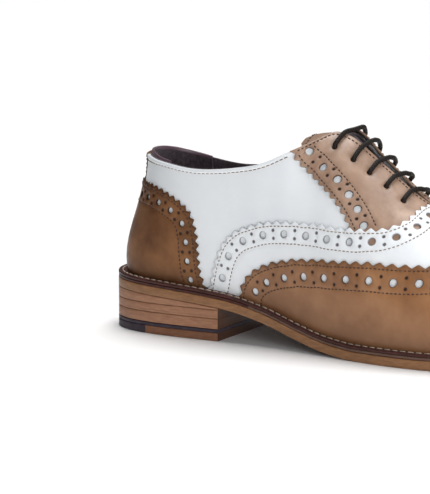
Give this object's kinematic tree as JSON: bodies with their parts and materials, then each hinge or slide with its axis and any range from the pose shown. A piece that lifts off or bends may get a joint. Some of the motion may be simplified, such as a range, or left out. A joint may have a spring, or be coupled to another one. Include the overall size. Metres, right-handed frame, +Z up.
{
  "type": "brogue oxford shoe",
  "caption": "Right lace-up brogue oxford with a wing cap, white quarters, tan counter and facings, welted leather sole and stacked heel, standing empty.",
  "frame": {"origin": "on the floor, under the middle of the shoe's box seen from above", "axes": "+X from heel to toe, +Y to the inner side of the foot, +Z up"},
  "size_m": [0.3, 0.0985, 0.1206],
  "materials": {
    "white_leather": "smooth, satin",
    "tan_leather": "burnished, satin",
    "facing_leather": "smooth, satin",
    "insole_leather": "matt lining",
    "welt_leather": "dyed edge, satin",
    "midsole_leather": "matt edge",
    "sole_leather": "waxed edge",
    "heel_leather": "stacked, waxed edge",
    "heel_rubber": "matt",
    "lace_cord": "waxed round cord"
  },
  "bodies": {
    "root": {"upper": "white_leather", "vamp": "white_leather", "wing_cap": "tan_leather", "counter": "tan_leather", "back_strip": "tan_leather", "facing_outer": "facing_leather", "facing_inner": "facing_leather", "tongue": "facing_leather", "insole": "insole_leather", "welt": "welt_leather", "heel_rand": "welt_leather", "midsole": "midsole_leather", "outsole": "sole_leather", "heel_lift_wedge": "heel_leather", "heel_lift_middle": "heel_leather", "heel_lift_lower": "heel_leather", "heel_rubber_layer": "heel_rubber", "heel_top_piece": "heel_leather", "heel_rubber_tip": "heel_rubber", "lace_bar_1": "lace_cord", "lace_bar_2": "lace_cord", "lace_bar_3": "lace_cord", "lace_bar_4": "lace_cord", "lace_bar_5": "lace_cord"}
  },
  "joints": []
}
